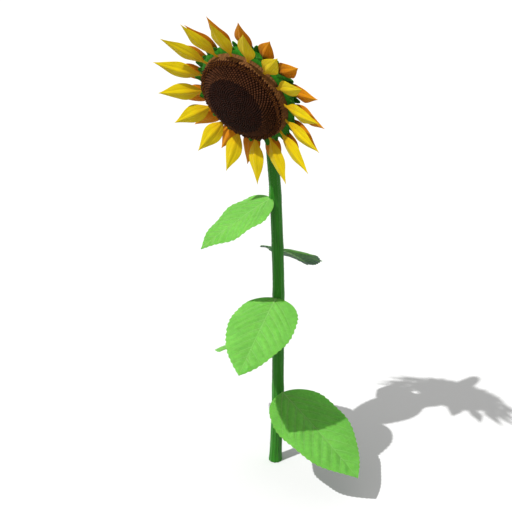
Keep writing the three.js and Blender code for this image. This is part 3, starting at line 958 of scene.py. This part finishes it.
class SUNFLOWER_OT_grow_ray_florets(bpy.types.Operator):
    """Grow the front ring of yellow and the back ring of orange ray florets"""

    bl_idname = "sunflower.grow_ray_florets"
    bl_label = "Grow ray florets"

    def execute(self, context):
        settings = context.scene.sunflower.ray
        yellow = ray_material("Yellow ray floret, silky", settings.yellow, settings.yellow_base)
        orange = ray_material("Orange ray floret, silky", settings.orange, settings.orange_base)
        rng = np.random.default_rng(21)
        self.grow_ring(FRONT_RAYS, yellow, "ray_yellow", settings, rng)
        self.grow_ring(BACK_RAYS, orange, "ray_orange", settings, rng)
        return {"FINISHED"}

    @staticmethod
    def grow_ring(ring, material, slot, settings, rng):
        """One ring of ray florets, each a little longer or shorter, wider, twisted and swayed."""
        base, tip = np.array(ring["base"], float), np.array(ring["tip"], float)
        reach = np.linalg.norm(tip - base)
        cosine, sine = (tip - base) / reach
        tilt = np.array([[cosine, 0, sine], [0, 1, 0], [-sine, 0, cosine]])
        start = (base[0] - RAY_SUNK * cosine, 0, base[1] - RAY_SUNK * sine)
        sizes = [size / MM for size in (settings.half_width, settings.keel, settings.thickness)]
        for k in range(RAY_COUNT):
            length = reach * rng.uniform(1.0, 1.04) + RAY_SUNK
            petal, grown = ray_floret(length, *sizes, ring["bend"], rng)
            angle = FIRST_RAY_ANGLE + ring["turn"] - k * 360 / RAY_COUNT
            petal = head_shape(turned_about_axis(moved(petal, tilt, start), angle))
            node = f"{ring['name']}_{k + 1:02d}"
            make_piece(f"{node}_petal", petal, [material], [node], grown=grown)


# --------------- disc

# In millimetres
BED_SUNK = 1.2  # how far the bed lies behind the disc's face and wall
FLORETS_SUNK = 2.0  # how deep the florets stand in the face
# Rows of scales on the wall: depth and radius of their feet, width and height
WALL_ROWS = ((-4.8, 67.4, 5.6, 7.0), (-2.0, 66.4, 5.4, 6.6), (0.8, 65.2, 5.2, 6.4))
SCALES_TO_A_ROW = 88


def dome_height(radius):
    """Height of the disc's face over the ray florets' base plane, in millimetres."""
    radius = np.asarray(radius, float)
    cap = DISC_TOP_HEIGHT - (DISC_TOP_HEIGHT - DISC_SHOULDER_HEIGHT) * (radius / DISC_SHOULDER_RADIUS) ** 2
    share = (radius - DISC_SHOULDER_RADIUS) / (DISC_RIM_INNER_RADIUS - DISC_SHOULDER_RADIUS)
    drop = (DISC_SHOULDER_HEIGHT - DISC_RIM_HEIGHT) * (
        (1 - SHOULDER_ROUNDING) * share + SHOULDER_ROUNDING * share**2
    )
    slope = np.where(radius < DISC_RIM_INNER_RADIUS, DISC_SHOULDER_HEIGHT - drop, DISC_RIM_HEIGHT)
    return np.where(radius < DISC_SHOULDER_RADIUS, cap, slope)


def closed_floret():
    """A closed bud, one unit wide and one unit tall."""
    return revolve(((0.4, 0), (0.52, 0.45), (0.46, 0.75), (0.25, 0.93), (0.06, 1)), 6)


def open_floret():
    """A five-lobed open floret, one unit wide and one unit tall."""
    outward, _ = around_axis(ring_angles(10))
    lobe = np.tile([[1.0], [0.0]], (5, 1))
    rings = []
    # radius and height of each ring, and how far its lobes reach out and up
    for radius, height, flare, rise in (
        (0.26, 0, 0, 0),
        (0.3, 0.5, 0, 0),
        (0.36, 0.72, 0.1, 0.02),
        (0.38, 0.82, 0.26, 0.06),
        (0.26, 0.8, 0.06, 0),
        (0.18, 0.62, 0, 0),
    ):
        rings.append(outward * (radius + flare * lobe) + UP * (height + rise * lobe))
    return close_rings(np.array(rings))


def anther():
    """The pollen tube with its forked style that stands out of an open floret."""
    column = revolve(((0.13, 0.55), (0.15, 1.0), (0.11, 1.12)), 5)
    arm = np.array([(0.03, 0, 1.06), (0.08, 0, 1.2), (0.2, 0, 1.26), (0.27, 0, 1.18)])
    radii = (0.05, 0.05, 0.045, 0.03)
    return join([column, *(tube(arm * (side, 1, 1), radii, 4) for side in (-1, 1))])


def chaff_scale():
    """A pointed, cupped scale standing in the Y-Z plane, one unit wide and one unit tall, facing +X."""
    share, v = blade_grid(1, 7, 5)
    y = v * (0.5 * (1 - share**1.7) ** 0.8 + 0.01)
    x = 0.12 * (1 - v**2) * (1 - 0.5 * share) + 0.08 * share**3
    middle = np.stack([x, y, share + 0 * v], axis=-1)
    half = np.array([0.05, 0, 0])
    return shell(middle - half, middle + half)[0]


class SUNFLOWER_OT_grow_disc(bpy.types.Operator):
    """Grow the domed disc: its bed, spirals of florets and wall of chaffy scales"""

    bl_idname = "sunflower.grow_disc"
    bl_label = "Grow disc"

    def execute(self, context):
        settings = context.scene.sunflower.head
        rng = np.random.default_rng(3)
        bed = floret_material("Disc bed, fibrous", settings.heart, 0.0, 0.9)
        heart = floret_material("Closed floret, waxy", settings.heart, 0.35, 0.6)
        shoulder = floret_material("Opening floret, papery", settings.shoulder, 0.3)
        rim = floret_material("Open floret, papery", settings.rim, 0.3)
        pollen = floret_material("Anther tube, dusty", settings.anther, 0.3, 0.85)
        chaff = floret_material("Chaffy scale, dry", settings.scale, 0.2, 0.7)
        make_piece("disc_bed", self.bed(), [bed], ["disc_ring", "disc_heart"])
        radius, places, axes = self.spiral(settings.floret_spacing / MM, rng)
        in_heart = radius < DISC_SHOULDER_RADIUS
        in_rim = radius > DISC_RIM_INNER_RADIUS - 1
        opening = ~in_heart & ~in_rim
        groups = (
            ("heart_florets", closed_floret(), in_heart, heart, "disc_heart", (1.0, 1.0)),
            ("shoulder_florets", closed_floret(), opening, shoulder, "disc", (1.0, 1.15)),
            ("rim_florets", open_floret(), in_rim, rim, "disc", (1.45, 1.45)),
            ("rim_anthers", anther(), in_rim, pollen, "disc", (1.25, 1.3)),
        )
        for name, template, chosen, material, slot, (wide, tall) in groups:
            scale = np.array([wide, wide, tall])[:, None]
            florets = scatter(template, places[chosen], axes[chosen] * scale)
            make_piece(name, head_shape(florets), [material], [])
        make_piece("wall_scales", self.wall(rng), [chaff], [])
        return {"FINISHED"}

    @staticmethod
    def bed():
        """The closed bed that the florets and scales stand in."""
        radius = np.append(np.linspace(1, DISC_RIM_INNER_RADIUS, 40), DISC_RIM_RADIUS - 1.5)
        face = np.column_stack([radius, dome_height(radius) - BED_SUNK])
        back = [(1, DISC_BACK), (DISC_BACK_RADIUS - BED_SUNK, DISC_BACK)]
        return head_shape(revolve(np.vstack([back, face[::-1]]), 96))

    @staticmethod
    def spiral(spacing, rng):
        """Radius, place and axes of every floret on the sunflower's spirals."""
        # seen from the front, a floret takes up 0.9 of its spacing's square, because the face is domed
        reach = DISC_RIM_RADIUS - BED_SUNK
        count = int(math.pi * reach**2 / (spacing**2 * 0.9))
        k = np.arange(count)
        radius = reach * np.sqrt((k + 0.5) / count)
        outward, round_it = around_axis(k * GOLDEN_ANGLE)
        slope = (dome_height(radius + 0.5) - dome_height(radius - 0.5)) * (radius < DISC_RIM_INNER_RADIUS)
        normal = outward * -slope[:, None] + UP
        normal += 0.06 * rng.normal(size=normal.shape)
        normal /= np.linalg.norm(normal, axis=1)[:, None]
        down = np.cross(round_it, normal)
        height = 2.8 + 0.5 * smoothstep(radius, 10, 40) + rng.uniform(-0.25, 0.25, count)
        places = outward * radius[:, None] + UP * dome_height(radius)[:, None] - normal * FLORETS_SUNK
        size = spacing * 1.02
        axes = np.stack([down * size, round_it * size, normal * height[:, None]], axis=1)
        return radius, places, axes

    @staticmethod
    def wall(rng):
        """Chaffy scales round the wall, in rows that overlap upwards."""
        scales = []
        for row, (depth, radius, wide, tall) in enumerate(WALL_ROWS):
            angle = ring_angles(SCALES_TO_A_ROW) + 0.5 * (row % 2) * TURN / SCALES_TO_A_ROW
            outward, round_it = around_axis(angle + rng.normal(0, 0.008, SCALES_TO_A_ROW))
            up = (UP - outward * 0.3) * tall * rng.uniform(0.9, 1.08, (SCALES_TO_A_ROW, 1))
            axes = np.stack([outward * wide, round_it * wide, up], axis=1)
            scales.append(scatter(chaff_scale(), outward * radius + UP * depth, axes))
        return head_shape(join(scales))


# --------------- stage


class SUNFLOWER_OT_set_stage(bpy.types.Operator):
    """Set the pale floor, the soft lights and the camera"""

    bl_idname = "sunflower.set_stage"
    bl_label = "Set stage"

    camera_place = (-0.0310, -1.7501, 1.1799)
    camera_pitch = 25.143  # degrees below level
    camera_view = 22.23  # degrees across the picture
    light_from = (-0.574, -0.406, 1.0)
    sun_width = 0.7  # degrees, so that shadows soften a little
    floor_reach = 20.0
    floor_depth = 0.5 * MM  # the floor lies this far below the foot

    def execute(self, context):
        settings = context.scene.sunflower.stage
        scene = context.scene
        scene.view_settings.view_transform = "Standard"
        self.floor(settings)
        self.lamp(settings)
        self.sky(scene, settings)
        self.camera(scene)
        return {"FINISHED"}

    def lamp(self, settings):
        sun = bpy.data.lights.new("studio_sun", "SUN")
        sun.energy = settings.sun
        sun.angle = math.radians(self.sun_width)
        lamp = new_object("studio_sun", sun)
        lamp.rotation_euler = Vector(self.light_from).to_track_quat("Z", "Y").to_euler()

    @staticmethod
    def sky(scene, settings):
        """Even light from all round, from a backdrop that looks white itself."""
        world = bpy.data.worlds.new("studio")
        world.use_nodes = True
        tree = world.node_tree
        seen = add_node(tree, "ShaderNodeLightPath").outputs["Is Camera Ray"]
        span = {"Value": seen, "To Min": settings.sky, "To Max": 1.0}
        strength = add_node(tree, "ShaderNodeMapRange", span).outputs["Result"]
        background = tree.nodes["Background"]
        background.inputs["Color"].default_value = (1, 1, 1, 1)
        tree.links.new(strength, background.inputs["Strength"])
        scene.world = world

    def camera(self, scene):
        lens = bpy.data.cameras.new("camera")
        lens.sensor_width = 36
        lens.angle = math.radians(self.camera_view)
        scene.camera = new_object("camera", lens)
        scene.camera.location = self.camera_place
        scene.camera.rotation_euler = (math.radians(90 - self.camera_pitch), 0, 0)

    def floor(self, settings):
        signs = ((-1, -1), (1, -1), (1, 1), (-1, 1))
        corners = [(x * self.floor_reach, y * self.floor_reach, -self.floor_depth) for x, y in signs]
        mesh = bpy.data.meshes.new("floor")
        mesh.from_pydata(corners, [], [(0, 1, 2, 3)])
        mesh.materials.append(floor_material(settings))
        floor = new_object("floor", mesh)
        # the floor catches light and shadow, and throws none of its light back up at the plant
        floor.visible_diffuse = False
        floor.visible_shadow = False


# --------------- panel and registration


class SUNFLOWER_PT_panel(bpy.types.Panel):
    """Buttons that grow the sunflower's pieces"""

    bl_label = "Sunflower"
    bl_space_type = "VIEW_3D"
    bl_region_type = "UI"
    bl_category = "Sunflower"

    def draw(self, context):
        for operator in OPERATORS:
            self.layout.operator(operator.bl_idname)
        for group in ("stem", "leaf", "head", "ray", "stage"):
            box = self.layout.box()
            box.label(text=group.capitalize())
            settings = getattr(context.scene.sunflower, group)
            for name in settings.__annotations__:
                box.prop(settings, name)


OPERATORS = (
    SUNFLOWER_OT_grow_stem,
    SUNFLOWER_OT_grow_leaves,
    SUNFLOWER_OT_grow_receptacle,
    SUNFLOWER_OT_grow_ray_florets,
    SUNFLOWER_OT_grow_disc,
    SUNFLOWER_OT_set_stage,
)
SETTINGS = (StemSettings, LeafSettings, HeadSettings, RaySettings, StageSettings, SunflowerSettings)


def register():
    for cls in (*SETTINGS, *OPERATORS, SUNFLOWER_PT_panel):
        bpy.utils.register_class(cls)
    bpy.types.Scene.sunflower = PointerProperty(type=SunflowerSettings)


def unregister():
    del bpy.types.Scene.sunflower
    for cls in reversed((*SETTINGS, *OPERATORS, SUNFLOWER_PT_panel)):
        bpy.utils.unregister_class(cls)


def main():
    register()
    bpy.ops.sunflower.grow_stem()
    bpy.ops.sunflower.grow_leaves()
    bpy.ops.sunflower.grow_receptacle()
    bpy.ops.sunflower.grow_ray_florets()
    bpy.ops.sunflower.grow_disc()
    bpy.ops.sunflower.set_stage()


if __name__ == "__main__":
    main()
